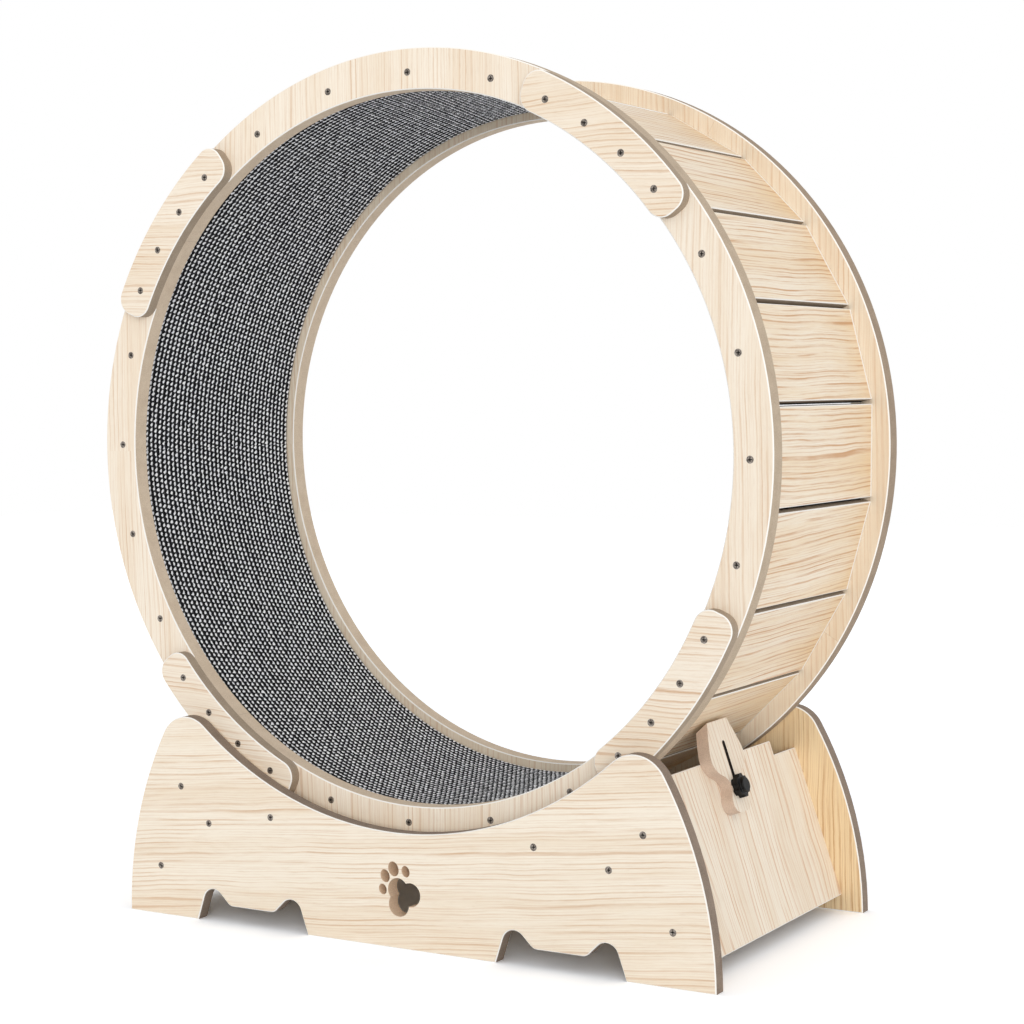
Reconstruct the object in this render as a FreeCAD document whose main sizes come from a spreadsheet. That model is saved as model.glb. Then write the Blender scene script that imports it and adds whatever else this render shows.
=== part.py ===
import FreeCAD, Part
import math
import os
import Sketcher
from FreeCAD import Placement, Rotation, Vector

# A running wheel for a house cat, about a metre high.
# Two board rings carry a drum of slats lined with carpet, and the rings roll on four flanged
# rollers inside a stand of two cradle plates and two sloping end panels.
# Frame: X along the front plate, -Y towards the front, +Z up.
# The origin lies on the floor, under the middle of the wheel's axis.

os.makedirs("parts", exist_ok=True)
doc = FreeCAD.newDocument("exercise_wheel")
sheet = doc.addObject("Spreadsheet::Sheet", "Sizes")

# Driving sizes, in millimetres, or in degrees where the name ends in Angle, Tilt or Turn.
drivingSizes = {
    # wheel
    "wheelRadius": 450,
    "ringBand": 46,
    "ringThickness": 22,
    "trackWidth": 298,
    "wheelRestTurn": -1.06,
    "splicePlateThickness": 15,
    "splicePlateHalfAngle": 15.7,
    "splicePlateCorner": 19,
    "edgeBevel": 1.2,
    # drum of slats and its lining
    "ringLip": 18,
    "slatThickness": 10,
    "slatGap": 3,
    "slatBevel": 1,
    "carpetThickness": 4,
    "carpetFit": 0.1,
    # screws
    "screwRadius": 2,
    "screwHeadRadius": 4.1,
    "screwHeadDepth": 2.3,
    "screwCrossSpan": 4.6,
    "screwCrossWidth": 1.1,
    "screwCrossDepth": 1.4,
    "screwHoleFit": 0.1,
    "ringScrewLength": 38,
    "spliceScrewLength": 52,
    "standScrewLength": 45,
    "bracketScrewLength": 14,
    # stand plates
    "floorClearance": 110,
    "wheelSideGap": 3,
    "standPlateThickness": 18,
    "standLength": 793,
    "standSideRadius": 455,
    "crestRadius": 40,
    "cradleOverlap": 22,
    "footCutCentre": 209.5,
    "footCutHalfWidth": 81.5,
    "footCutCrownOffset": 64,
    "footCutCrownHeight": 51,
    "footCutCrownRadius": 15,
    "footCutShelfHalfWidth": 33,
    "footCutShelfHeight": 21,
    "footCutShelfRadius": 12,
    "pawCentreX": 7,
    "pawCentreHeight": 59,
    "pawPadRadius": 13.6,
    # end panels
    "endPanelTilt": 18.9,
    "endPanelThickness": 18,
    "endPanelSpacing": 626,
    "endPanelScrewHeight": 159,
    "endPanelScrewSpacing": 105,
    "endPanelBelowScrew": 150,
    "endPanelWheelGap": 8.6,
    "endPanelNotchWidth": 60,
    "endPanelNotchDepth": 17,
    # rollers, their brackets and boards
    "rollerAngle": 31.6,
    "rollerRadius": 20,
    "rollerFlangeRadius": 26,
    "rollerFlangeWidth": 4,
    "rollerFlangeGap": 1,
    "rollerTreadOverhang": 1,
    "rollerRunningGap": 0.3,
    "rollerBevel": 1,
    "rollerHubRadius": 11,
    "rollerHubProud": 0.6,
    "axleRadius": 4,
    "axleFit": 0.05,
    "axleHeadWidth": 13,
    "axleHeadHeight": 5,
    "axleNutHeight": 6.5,
    "axleEndProud": 2,
    "bracketSheet": 2.5,
    "bracketSideGap": 0.9,
    "bracketFloorGap": 1,
    "bracketEarHalfWidth": 11,
    "bracketHalfLength": 28,
    "bracketScrewOffset": 21,
    "rollerBoardTilt": 9.5,
    "rollerBoardThickness": 15,
    "rollerBoardLength": 110,
    "rollerBoardShift": 15.4,
    "rollerBoardScrewSpacing": 93.8,
    # lock: a plate that slides on the right end panel, and its clamp knob
    "lockThickness": 15,
    "lockContactGap": 0.3,
    "lockSlideGap": 0.1,
    "lockLift": 5,
    "lockForward": 15,
    "lockSlotWidth": 6.6,
    "lockSlotTop": 70,
    "lockStudHeight": 14.5,
    "lockCutterSize": 190,
    "knobRadius": 13.5,
    "knobThickness": 8,
    "knobBossRadius": 8.5,
    "knobBossHeight": 4,
    "knobGap": 0.3,
    "knobScallopRadius": 4.5,
    "knobRimRound": 1.2,
    "studRadius": 3,
    "studFit": 0.05,
    "studEndProud": 4,
    "teeNutBarrelRadius": 4,
    "teeNutBarrelDepth": 10,
    "teeNutFlangeRadius": 9,
    "teeNutFlangeThickness": 1.5,
}

slatCount = 24
segmentCount = 4
knobScallopCount = 6
# the slat that the lock meets, counted down from the one beside the axis
lockSlat = 3

for row, (alias, value) in enumerate(drivingSizes.items(), start=1):
    sheet.set(f"A{row}", alias)
    sheet.set(f"B{row}", str(value))
    sheet.setAlias(f"B{row}", alias)
doc.recompute()


def size(alias):
    return float(sheet.get(alias))


def polar(radius, angle):
    turn = math.radians(angle)
    return Vector(radius * math.cos(turn), radius * math.sin(turn), 0)


def toHand(spot, hand):
    # right hand 1, left hand -1
    return Vector(hand * spot.x, spot.y, spot.z)


def mirrored(spot):
    return toHand(spot, -1)


def atDepth(spot, depth):
    return Vector(spot.x, depth, spot.z)


# ---- places that several pieces share ----

axisHeight = size("wheelRadius") + size("floorClearance")
innerRadius = size("wheelRadius") - size("ringBand")
halfTrack = size("trackWidth") / 2
ringFace = halfTrack + size("ringThickness")
spliceFace = ringFace + size("splicePlateThickness")
plateInner = spliceFace + size("wheelSideGap")
slatPitch = 360 / slatCount
segmentPitch = 360 / segmentCount
slatsPerSegment = slatCount // segmentCount
slatOuterFlat = (size("wheelRadius") - size("ringLip")) * math.cos(math.radians(slatPitch / 2))
slatInnerFlat = slatOuterFlat - size("slatThickness")
slatWidth = 2 * slatInnerFlat * math.tan(math.radians(slatPitch / 2)) - size("slatGap")
screwCircle = slatOuterFlat - size("slatThickness") / 2
# the front ring's joints lie between two slats, under its splice plates; the rear's lie on a slat
slatBeforeJoint = slatsPerSegment // 2
rearJointSlat = slatBeforeJoint + 1
firstJoint = {
    "front": size("wheelRestTurn") + slatPitch * (slatBeforeJoint + 0.5),
    "rear": size("wheelRestTurn") + slatPitch * rearJointSlat,
}
nodes = {}


# ---- sketch and body helpers ----

def newBody(label):
    body = doc.addObject("PartDesign::Body", label)
    body.Label = label
    return body


def sketchOn(body, name, curves, role="XY_Plane", lift=0.0):
    sketch = body.newObject("Sketcher::SketchObject", name)
    plane = next(f for f in body.Origin.OriginFeatures if f.Role == role)
    sketch.AttachmentSupport = [(plane, "")]
    sketch.MapMode = "FlatFace"
    sketch.AttachmentOffset = Placement(Vector(0, 0, lift), Rotation())
    for curve in curves:
        sketch.addGeometry(curve, False)
    return sketch


def padOf(body, sketch, length, midplane=False, reverse=False):
    pad = body.newObject("PartDesign::Pad", sketch.Name + "Pad")
    pad.Profile = sketch
    pad.setExpression("Length", length)
    pad.Midplane = midplane
    pad.Reversed = reverse
    return pad


def pocketThrough(body, sketch):
    pocket = body.newObject("PartDesign::Pocket", sketch.Name + "Pocket")
    pocket.Profile = sketch
    pocket.Type = "ThroughAll"
    pocket.Midplane = True
    return pocket


def bevelEdges(body, feature, expression, chosen):
    doc.recompute()
    edges = feature.Shape.Edges
    names = [f"Edge{n}" for n, edge in enumerate(edges, start=1) if chosen(edge)]
    bevel = body.newObject("PartDesign::Chamfer", body.Name + "Bevel")
    bevel.Base = (feature, names)
    bevel.setExpression("Size", expression)
    return bevel


def inPlane(edge, height):
    box = edge.BoundBox
    return abs(box.ZMin - height) < 1e-6 and abs(box.ZMax - height) < 1e-6


def closedLines(points):
    ends = points[1:] + points[:1]
    return [Part.LineSegment(start, end) for start, end in zip(points, ends)]


def rectangle(low, high):
    corners = [low, Vector(high.x, low.y, 0), high, Vector(low.x, high.y, 0)]
    return closedLines(corners)


def roundedOutline(corners):
    # corners: (point, radius); straight runs joined by arcs that touch both
    curves = []
    previousEnd = None
    firstStart = None
    for n, (point, radius) in enumerate(corners):
        before = (corners[n - 1][0] - point).normalize()
        after = (corners[(n + 1) % len(corners)][0] - point).normalize()
        if radius > 0:
            half = before.getAngle(after) / 2
            run = radius / math.tan(half)
            start = point + before * run
            end = point + after * run
            middleWay = (before + after).normalize()
            middle = point + middleWay * (radius / math.sin(half) - radius)
        else:
            start = end = point
        if previousEnd is None:
            firstStart = start
        else:
            curves.append(Part.LineSegment(previousEnd, start))
        if radius > 0:
            curves.append(Part.Arc(start, middle, end))
        previousEnd = end
    curves.append(Part.LineSegment(previousEnd, firstStart))
    return curves


def sectorCurves(inner, outer, halfAngle):
    corners = {(r, a): polar(r, a) for r in (inner, outer) for a in (-halfAngle, halfAngle)}
    return [
        Part.Arc(corners[outer, -halfAngle], polar(outer, 0), corners[outer, halfAngle]),
        Part.LineSegment(corners[outer, halfAngle], corners[inner, halfAngle]),
        Part.Arc(corners[inner, halfAngle], polar(inner, 0), corners[inner, -halfAngle]),
        Part.LineSegment(corners[inner, -halfAngle], corners[outer, -halfAngle]),
    ]


def circleCurve(centre, radius):
    return Part.Circle(centre, Vector(0, 0, 1), radius)


def drilled(label, blank, drill):
    cut = doc.addObject("Part::Cut", label)
    cut.Label = label
    cut.Base = blank
    cut.Tool = drill
    nodes[label] = cut
    return cut


def solidGroup(label, shapes):
    group = doc.addObject("Part::Feature", label)
    group.Label = label
    group.Shape = Part.makeCompound(shapes)
    return group


# ---- screws: countersunk, with a cross recess; the plain shank stands for the thread ----

def screwShape(length, grow=0.0):
    radius = size("screwRadius") + grow
    headRadius = size("screwHeadRadius") + grow
    headDepth = size("screwHeadDepth")
    head = Part.makeCone(headRadius, radius, headDepth, Vector(0, 0, 0), Vector(0, 0, -1))
    shank = Part.makeCylinder(radius, length + grow, Vector(0, 0, 0), Vector(0, 0, -1))
    screw = head.fuse(shank).removeSplitter()
    if grow:
        return screw
    span = size("screwCrossSpan")
    width = size("screwCrossWidth")
    depth = size("screwCrossDepth")
    bars = [
        Part.makeBox(along, across, depth, Vector(-along / 2, -across / 2, -depth))
        for along, across in ((span, width), (width, span))
    ]
    return screw.cut(bars[0].fuse(bars[1]).removeSplitter())


def facing(sign):
    # turns a piece's own +Z to the front (-1) or to the rear (+1)
    return Rotation(Vector(1, 0, 0), -90 * sign)


def screwsAt(length, spots, grow=0.0):
    blank = screwShape(length, grow)
    shapes = []
    for spot, turn in spots:
        screw = blank.copy()
        screw.Placement = Placement(spot, turn)
        shapes.append(screw)
    return shapes


# ---- wheel ----

def onWheel(radius, angle, depth):
    spot = polar(radius, angle)
    return Vector(spot.x, depth, axisHeight + spot.y)


sides = {"front": -1, "rear": 1}
plainScrewSpots = []
spliceScrewSpots = []


def wheelScrews(side, depth, slat, shifts):
    sign = sides[side]
    centreAngle = size("wheelRestTurn") + slatPitch * slat
    return [(onWheel(screwCircle, centreAngle + shift, sign * depth), facing(sign)) for shift in shifts]


# a slat at a ring joint takes two screws, any other takes one
pairShifts = (-slatPitch / 4, slatPitch / 4)
for slat in range(slatCount):
    if (slat - slatBeforeJoint) % slatsPerSegment in (0, 1):
        spliceScrewSpots += wheelScrews("front", spliceFace, slat, pairShifts)
    else:
        plainScrewSpots += wheelScrews("front", ringFace, slat, (0,))
    atJoint = (slat - rearJointSlat) % slatsPerSegment == 0
    plainScrewSpots += wheelScrews("rear", ringFace, slat, pairShifts if atJoint else (0,))

holeFit = size("screwHoleFit")
plainDrill = screwsAt(size("ringScrewLength"), plainScrewSpots, holeFit)
spliceDrill = screwsAt(size("spliceScrewLength"), spliceScrewSpots, holeFit)
wheelDrill = solidGroup("wheelDrill", plainDrill + spliceDrill)


def wheelPlacement(depth, angle, sign):
    spin = Rotation(Vector(0, 0, 1), -sign * angle)
    return Placement(Vector(0, depth, axisHeight), facing(sign) * spin)


def bandPiece(label, halfAngle, thickness, bevelled, corner=None):
    # an arc of the ring's band, cut from flat board; bevelled names the faces with bevelled rims
    body = newBody(label + "_blank")
    curves = sectorCurves(innerRadius, size("wheelRadius"), halfAngle)
    pad = padOf(body, sketchOn(body, label + "_outline", curves), thickness)
    doc.recompute()
    last = pad
    if corner:
        edges = [
            f"Edge{n}"
            for n, edge in enumerate(pad.Shape.Edges, start=1)
            if edge.BoundBox.ZLength > 1
        ]
        last = body.newObject("PartDesign::Fillet", label + "_corners")
        last.Base = (pad, edges)
        last.setExpression("Radius", corner)
        doc.recompute()
    heights = {"outer": pad.Shape.BoundBox.ZMax, "inner": 0}

    def rounded(edge):
        level = any(inPlane(edge, heights[face]) for face in bevelled)
        return level and edge.Curve.TypeId == "Part::GeomCircle"

    bevelEdges(body, last, "Sizes.edgeBevel", rounded)
    return body


def openBevel():
    # wedges that bevel the front ring's outer face where no splice plate covers it
    bevel = size("edgeBevel")
    top = size("ringThickness")
    cornerAngle = math.degrees(size("splicePlateCorner") / size("wheelRadius"))
    halfAngle = segmentPitch / 2 - size("splicePlateHalfAngle") + cornerAngle
    wedges = []
    for rim, inwards in ((size("wheelRadius"), -1), (innerRadius, 1)):
        # the section reaches past the rim and the face, so no sliver is left on either
        corners = [(rim + inwards * 2 * bevel, top + bevel), (rim - inwards * bevel, top + bevel)]
        corners.append((rim - inwards * bevel, top - 2 * bevel))
        section = Part.Face(Part.makePolygon([Vector(x, 0, z) for x, z in corners + corners[:1]]))
        section.rotate(Vector(0, 0, 0), Vector(0, 0, 1), -halfAngle)
        wedges.append(section.revolve(Vector(0, 0, 0), Vector(0, 0, 1), 2 * halfAngle))
    return Part.makeCompound(wedges)


for side, sign in sides.items():
    for number in range(1, segmentCount + 1):
        label = f"{side}_ring_segment_{number}"
        joint = firstJoint[side] + segmentPitch * (number - 1)
        bevelled = ["inner"] if side == "front" else ["inner", "outer"]
        segment = bandPiece(label, segmentPitch / 2, "Sizes.ringThickness", bevelled)
        segment.Placement = wheelPlacement(sign * halfTrack, joint + segmentPitch / 2, sign)
        if side == "front":
            wedge = doc.addObject("Part::Feature", label + "_bevel")
            wedge.Shape = openBevel()
            wedge.Placement = segment.Placement
            eased = doc.addObject("Part::Cut", label + "_eased")
            eased.Base = segment
            eased.Tool = wedge
            segment = eased
        drilled(label, segment, wheelDrill)

for number in range(1, segmentCount + 1):
    label = f"front_splice_plate_{number}"
    joint = firstJoint["front"] + segmentPitch * (number - 1)
    halfAngle = size("splicePlateHalfAngle")
    corner = "Sizes.splicePlateCorner"
    splice = bandPiece(label, halfAngle, "Sizes.splicePlateThickness", ["outer"], corner)
    splice.Placement = wheelPlacement(-ringFace, joint, -1)
    drilled(label, splice, wheelDrill)

for slat in range(slatCount):
    label = f"slat_{slat + 1:02d}"
    body = newBody(label + "_blank")
    half = Vector(slatWidth / 2, size("slatThickness") / 2, 0)
    pad = padOf(body, sketchOn(body, label + "_end", rectangle(-half, half)), "Sizes.trackWidth", True)

    def outerEdge(edge):
        return edge.BoundBox.YMin > 0

    bevelEdges(body, pad, "Sizes.slatBevel", outerEdge)
    angle = size("wheelRestTurn") + slatPitch * slat
    # own +X runs round the wheel, own +Y points outwards, own +Z lies along the axis
    outwards = Vector(math.cos(math.radians(angle)), 0, math.sin(math.radians(angle)))
    axis = Vector(0, 1, 0)
    turn = Rotation(outwards.cross(axis), outwards, axis, "ZYX")
    body.Placement = Placement(onWheel(screwCircle, angle, 0), turn)
    drilled(label, body, wheelDrill)

liningBody = newBody("carpet_lining")
liningOuter = slatInnerFlat - size("carpetFit")
liningInner = liningOuter - size("carpetThickness")
liningCurves = [circleCurve(Vector(0, 0, 0), radius) for radius in (liningOuter, liningInner)]
padOf(liningBody, sketchOn(liningBody, "carpet_end", liningCurves), "Sizes.trackWidth", True)
liningBody.Placement = wheelPlacement(0, size("wheelRestTurn"), -1)
nodes["carpet_lining"] = liningBody

ringScrews = screwsAt(size("ringScrewLength"), plainScrewSpots)
spliceScrews = screwsAt(size("spliceScrewLength"), spliceScrewSpots)
nodes["ring_screws"] = solidGroup("ring_screws", ringScrews)
nodes["splice_screws"] = solidGroup("splice_screws", spliceScrews)


# ---- stand: where its pieces lie, seen from the front ----

def circlesMeet(centreA, radiusA, centreB, radiusB):
    # of the two points that lie on both circles, the one on the right of the way from A to B
    gap = centreB - centreA
    along = (gap.Length ** 2 + radiusA ** 2 - radiusB ** 2) / (2 * gap.Length)
    across = math.sqrt(radiusA ** 2 - along ** 2)
    unit = Vector(gap).normalize()
    return centreA + unit * along + Vector(unit.y, -unit.x, 0) * across


tilt = math.radians(size("endPanelTilt"))
panelUp = Vector(-math.sin(tilt), 0, math.cos(tilt))
panelOut = Vector(math.cos(tilt), 0, math.sin(tilt))
panelDatum = Vector(size("endPanelSpacing") / 2, 0, size("endPanelScrewHeight"))
halfPanel = size("endPanelThickness") / 2


def upPanelTo(distance, offset):
    # how far up the panel from its datum a line at this offset comes to this distance from the axis
    start = panelDatum + panelOut * offset - Vector(0, 0, axisHeight)
    along = start.dot(panelUp)
    return -along - math.sqrt(along ** 2 - start.Length ** 2 + distance ** 2)


panelTop = upPanelTo(size("wheelRadius") + size("endPanelWheelGap"), -halfPanel)

boardTilt = math.radians(size("rollerBoardTilt"))
boardAlong = Vector(math.cos(boardTilt), 0, -math.sin(boardTilt))
boardUp = Vector(math.sin(boardTilt), 0, math.cos(boardTilt))
rollerPath = size("wheelRadius") + size("rollerRunningGap") + size("rollerRadius")
rollerTurn = math.radians(size("rollerAngle"))
axleSpot = Vector(
    rollerPath * math.sin(rollerTurn), 0, axisHeight - rollerPath * math.cos(rollerTurn)
)
axleRise = size("rollerFlangeRadius") + size("bracketFloorGap") + size("bracketSheet")
bracketSpot = axleSpot - boardUp * axleRise
boardSpot = bracketSpot - boardUp * (size("rollerBoardThickness") / 2)
boardSpot = boardSpot - boardAlong * size("rollerBoardShift")


panelScrewLow = panelDatum - panelUp * size("endPanelScrewSpacing")
halfBoardScrews = boardAlong * (size("rollerBoardScrewSpacing") / 2)
rightScrewSpots = [panelDatum, panelScrewLow, boardSpot - halfBoardScrews, boardSpot + halfBoardScrews]
plateOuter = plateInner + size("standPlateThickness")
standScrewSpots = [
    (atDepth(spot, sign * plateOuter), facing(sign))
    for sign in (-1, 1)
    for right in rightScrewSpots
    for spot in (right, mirrored(right))
]
standDrill = solidGroup("standDrill", screwsAt(size("standScrewLength"), standScrewSpots, holeFit))
nodes["base_screws"] = solidGroup("base_screws", screwsAt(size("standScrewLength"), standScrewSpots))


# ---- the two cradle plates ----

def plateOutline():
    halfLength = size("standLength") / 2
    hub = Vector(0, axisHeight, 0)
    cradle = size("wheelRadius") - size("cradleOverlap")
    sideRadius = size("standSideRadius")
    crest = size("crestRadius")
    sideHub = Vector(halfLength - sideRadius, 0, 0)
    crestHub = circlesMeet(sideHub, sideRadius - crest, hub, cradle + crest)
    sideEnd = sideHub + (crestHub - sideHub).normalize() * sideRadius
    cradleEnd = hub + (crestHub - hub).normalize() * cradle
    corner = Vector(halfLength, 0, 0)
    sideMiddle = sideHub + (corner + sideEnd - sideHub * 2).normalize() * sideRadius
    crestMiddle = crestHub + (sideEnd + cradleEnd - crestHub * 2).normalize() * crest
    return [
        Part.LineSegment(mirrored(corner), corner),
        Part.Arc(corner, sideMiddle, sideEnd),
        Part.Arc(sideEnd, crestMiddle, cradleEnd),
        Part.Arc(cradleEnd, hub - Vector(0, cradle, 0), mirrored(cradleEnd)),
        Part.Arc(mirrored(cradleEnd), mirrored(crestMiddle), mirrored(sideEnd)),
        Part.Arc(mirrored(sideEnd), mirrored(sideMiddle), mirrored(corner)),
    ]


def footCut(centreX):
    # two humps with a flat shelf between them, open at the floor
    wide = size("footCutHalfWidth")
    crown = size("footCutCrownOffset")
    crownHeight = size("footCutCrownHeight")
    shelf = size("footCutShelfHalfWidth")
    shelfHeight = size("footCutShelfHeight")
    # the outline starts as far below the floor as the shelf lies above it
    lean = (wide - crown) * shelfHeight / crownHeight
    half = [
        (wide + lean, -shelfHeight, 0),
        (crown, crownHeight, size("footCutCrownRadius")),
        (shelf, shelfHeight, size("footCutShelfRadius")),
    ]
    points = half + [(-x, height, radius) for x, height, radius in reversed(half)]
    return roundedOutline([(Vector(centreX + x, height, 0), radius) for x, height, radius in points])


# toes of the paw-shaped hole: across and above the pad's middle, long radius, short radius
pawToes = [(-27.5, 7, 6.2, 5.2), (-24, 22.5, 7.5, 6.1), (-12.5, 31.5, 8.6, 6.9), (4, 30, 6.6, 5.3)]
pawToeTilt = 20
pawPadOffset = 10.5
pawPadTurns = (130, 22, 236)


def pawCutter():
    middle = Vector(size("pawCentreX"), size("pawCentreHeight"), 0)
    deep = Vector(0, 0, size("standPlateThickness") * 3)
    start = Vector(0, 0, -size("standPlateThickness"))
    holes = []
    for turn in pawPadTurns:
        centre = middle + polar(pawPadOffset, turn) + start
        holes.append(Part.makeCylinder(size("pawPadRadius"), deep.z, centre))
    pad = holes[0].multiFuse(holes[1:]).removeSplitter()
    toes = []
    for across, above, longRadius, shortRadius in pawToes:
        toe = Part.Ellipse(Vector(0, 0, 0), longRadius, shortRadius).toShape()
        toe = Part.Face(Part.Wire([toe]))
        turn = Rotation(Vector(0, 0, 1), 90 + pawToeTilt)
        toe.Placement = Placement(middle + Vector(across, above, 0) + start, turn)
        toes.append(toe.extrude(deep))
    return Part.makeCompound([pad] + toes)


for side, sign in sides.items():
    label = f"{side}_base_plate"
    body = newBody(label + "_blank")
    pad = padOf(body, sketchOn(body, label + "_outline", plateOutline()), "Sizes.standPlateThickness")
    cuts = footCut(size("footCutCentre")) + footCut(-size("footCutCentre"))
    pocket = pocketThrough(body, sketchOn(body, label + "_feet", cuts))
    top = size("standPlateThickness")
    bevelEdges(body, pocket, "Sizes.edgeBevel", lambda edge: inPlane(edge, top) or inPlane(edge, 0))
    # own +Z points outwards; seen from behind, the rear plate's own +X runs the other way
    turn = Rotation(Vector(1, 0, 0), 90)
    if sign > 0:
        turn = Rotation(Vector(0, 0, 1), 180) * turn
    body.Placement = Placement(Vector(0, sign * plateInner, 0), turn)
    paw = doc.addObject("Part::Feature", label + "_paw")
    paw.Shape = pawCutter()
    paw.Placement = body.Placement
    pawCut = doc.addObject("Part::Cut", label + "_pawed")
    pawCut.Base = body
    pawCut.Tool = paw
    drilled(label, pawCut, standDrill)


# ---- sloping end panels ----

# own +X runs to the rear, own +Y up the slope, own +Z out of the stand
rightPanelTurn = Rotation(Vector(0, 1, 0), panelUp, panelOut, "ZYX")
leftPanelTurn = Rotation(Vector(0, 0, 1), 180) * rightPanelTurn
panelPlacements = {
    "right": Placement(panelDatum, rightPanelTurn),
    "left": Placement(mirrored(panelDatum), leftPanelTurn),
}


def panelOutline():
    # the top corners are cut down where the rings pass
    low = -size("endPanelBelowScrew")
    notchFloor = panelTop - size("endPanelNotchDepth")
    notchSide = plateInner - size("endPanelNotchWidth")
    right = [(plateInner, low), (plateInner, notchFloor), (notchSide, notchFloor), (notchSide, panelTop)]
    left = [(-x, y) for x, y in reversed(right)]
    return closedLines([Vector(x, y, 0) for x, y in right + left])


def openEdge(edge):
    # a rim edge that doesn't butt against a cradle plate
    box = edge.BoundBox
    atPlate = abs(abs(box.Center.x) - plateInner) < 1e-6
    return box.ZLength < 1e-6 and not atPlate


def onLockLine(up, offset):
    # the line up the right end panel that the lock slides on, a little to the front of its middle
    return panelDatum - Vector(0, size("lockForward"), 0) + panelUp * up + panelOut * offset


def panelPin(radius, low, high):
    # a round pin square to the right end panel, at the clamp
    start = onLockLine(size("lockStudHeight"), low)
    return Part.makeCylinder(radius, high - low, start, panelOut)


for side, placement in panelPlacements.items():
    label = f"{side}_end_panel"
    body = newBody(label + "_blank")
    pad = padOf(body, sketchOn(body, label + "_outline", panelOutline()), "Sizes.endPanelThickness", True)
    bevelEdges(body, pad, "Sizes.edgeBevel", openEdge)
    body.Placement = placement
    if side == "right":
        bore = doc.addObject("Part::Feature", "lock_bore")
        bore.Shape = panelPin(size("teeNutBarrelRadius") + holeFit, -halfPanel * 2, halfPanel * 2)
        bored = doc.addObject("Part::Cut", label + "_bored")
        bored.Base = body
        bored.Tool = bore
        body = bored
    drilled(label, body, standDrill)


# ---- roller boards and brackets ----

treadOuter = ringFace + size("rollerTreadOverhang")
flangeOuter = halfTrack - size("rollerFlangeGap")
flangeInner = flangeOuter - size("rollerFlangeWidth")
rollerMiddle = (treadOuter + flangeInner) / 2
earInner = (treadOuter - flangeInner) / 2 + size("rollerHubProud") + size("bracketSideGap")
earOuter = earInner + size("bracketSheet")


def boardTurn(hand):
    return Rotation(Vector(0, 1, 0), hand * size("rollerBoardTilt"))


hands = {"right": 1, "left": -1}
corners = [(side, sign, name, hand) for side, sign in sides.items() for name, hand in hands.items()]

bracketScrewSpots = []
for side, sign, name, hand in corners:
    for shift in (-size("bracketScrewOffset"), size("bracketScrewOffset")):
        spot = bracketSpot + boardAlong * shift + boardUp * size("bracketSheet")
        spot = atDepth(toHand(spot, hand), sign * rollerMiddle)
        bracketScrewSpots.append((spot, boardTurn(hand)))
bracketDrill = screwsAt(size("bracketScrewLength"), bracketScrewSpots, holeFit)
bracketDrill = solidGroup("bracketDrill", bracketDrill)
bracketScrews = screwsAt(size("bracketScrewLength"), bracketScrewSpots)
nodes["bracket_screws"] = solidGroup("bracket_screws", bracketScrews)

for name, hand in hands.items():
    label = f"{name}_roller_board"
    body = newBody(label + "_blank")
    half = Vector(size("rollerBoardLength") / 2, plateInner, 0)
    sketch = sketchOn(body, label + "_outline", rectangle(-half, half))
    padOf(body, sketch, "Sizes.rollerBoardThickness", True)
    body.Placement = Placement(toHand(boardSpot, hand), boardTurn(hand))
    bored = doc.addObject("Part::Cut", label + "_bored")
    bored.Base = body
    bored.Tool = bracketDrill
    drilled(label, bored, standDrill)


def bracketBlank():
    # a steel saddle: a sole on the board and two ears that hold the axle
    body = newBody("roller_bracket_blank")
    half = Vector(size("bracketHalfLength"), earOuter, 0)
    sole = padOf(body, sketchOn(body, "bracket_sole", rectangle(-half, half)), "Sizes.bracketSheet")
    wide = size("bracketEarHalfWidth")
    for earSign in (-1, 1):
        # the sketch plane's normal points to -Y, so a rear ear is drawn on its inner face and reversed
        start = earInner if earSign > 0 else -earInner
        curves = [
            Part.LineSegment(Vector(-wide, 0, 0), Vector(wide, 0, 0)),
            Part.LineSegment(Vector(wide, 0, 0), Vector(wide, axleRise, 0)),
            Part.Arc(Vector(wide, axleRise, 0), Vector(0, axleRise + wide, 0), Vector(-wide, axleRise, 0)),
            Part.LineSegment(Vector(-wide, axleRise, 0), Vector(-wide, 0, 0)),
            circleCurve(Vector(0, axleRise, 0), size("axleRadius") + size("axleFit")),
        ]
        name = "bracket_ear_rear" if earSign > 0 else "bracket_ear_front"
        ear = sketchOn(body, name, curves, "XZ_Plane", -start)
        padOf(body, ear, "Sizes.bracketSheet", False, earSign > 0)
    return body


bracketBody = bracketBlank()
doc.recompute()


def atRollers(shape):
    # one copy at each roller: own X along the board, own Z up from it, own origin under the axle
    copies = []
    for side, sign, name, hand in corners:
        copy = shape.copy()
        spot = atDepth(toHand(bracketSpot, hand), sign * rollerMiddle)
        spin = Rotation(Vector(0, 0, 1), 180 if sign > 0 else 0)
        copy.Placement = Placement(spot, boardTurn(hand) * spin)
        copies.append(copy)
    return copies


bracketGroup = solidGroup("bracket_group", atRollers(bracketBody.Shape))
drilled("roller_brackets", bracketGroup, bracketDrill)


def hexagon(width, height, start):
    corner = width / math.sqrt(3)
    points = [polar(corner, 60 * n) for n in range(6)]
    prism = Part.Face(Part.makePolygon(points + points[:1])).extrude(Vector(0, 0, height))
    prism.translate(start)
    return prism


def axleBoltShapes():
    # head outside the stand's outer ear, nut inside; own Z along the shank, own origin mid-roller
    reach = earOuter + size("axleNutHeight") + size("axleEndProud")
    shank = Part.makeCylinder(size("axleRadius"), reach + earOuter, Vector(0, 0, -reach))
    head = hexagon(size("axleHeadWidth"), size("axleHeadHeight"), Vector(0, 0, earOuter))
    nut = hexagon(size("axleHeadWidth"), size("axleNutHeight"), Vector(0, 0, -earOuter - size("axleNutHeight")))
    hole = Part.makeCylinder(size("axleRadius") + size("axleFit"), 2 * reach, Vector(0, 0, -2 * reach))
    return [shank.fuse(head).removeSplitter(), nut.cut(hole)]


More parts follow.
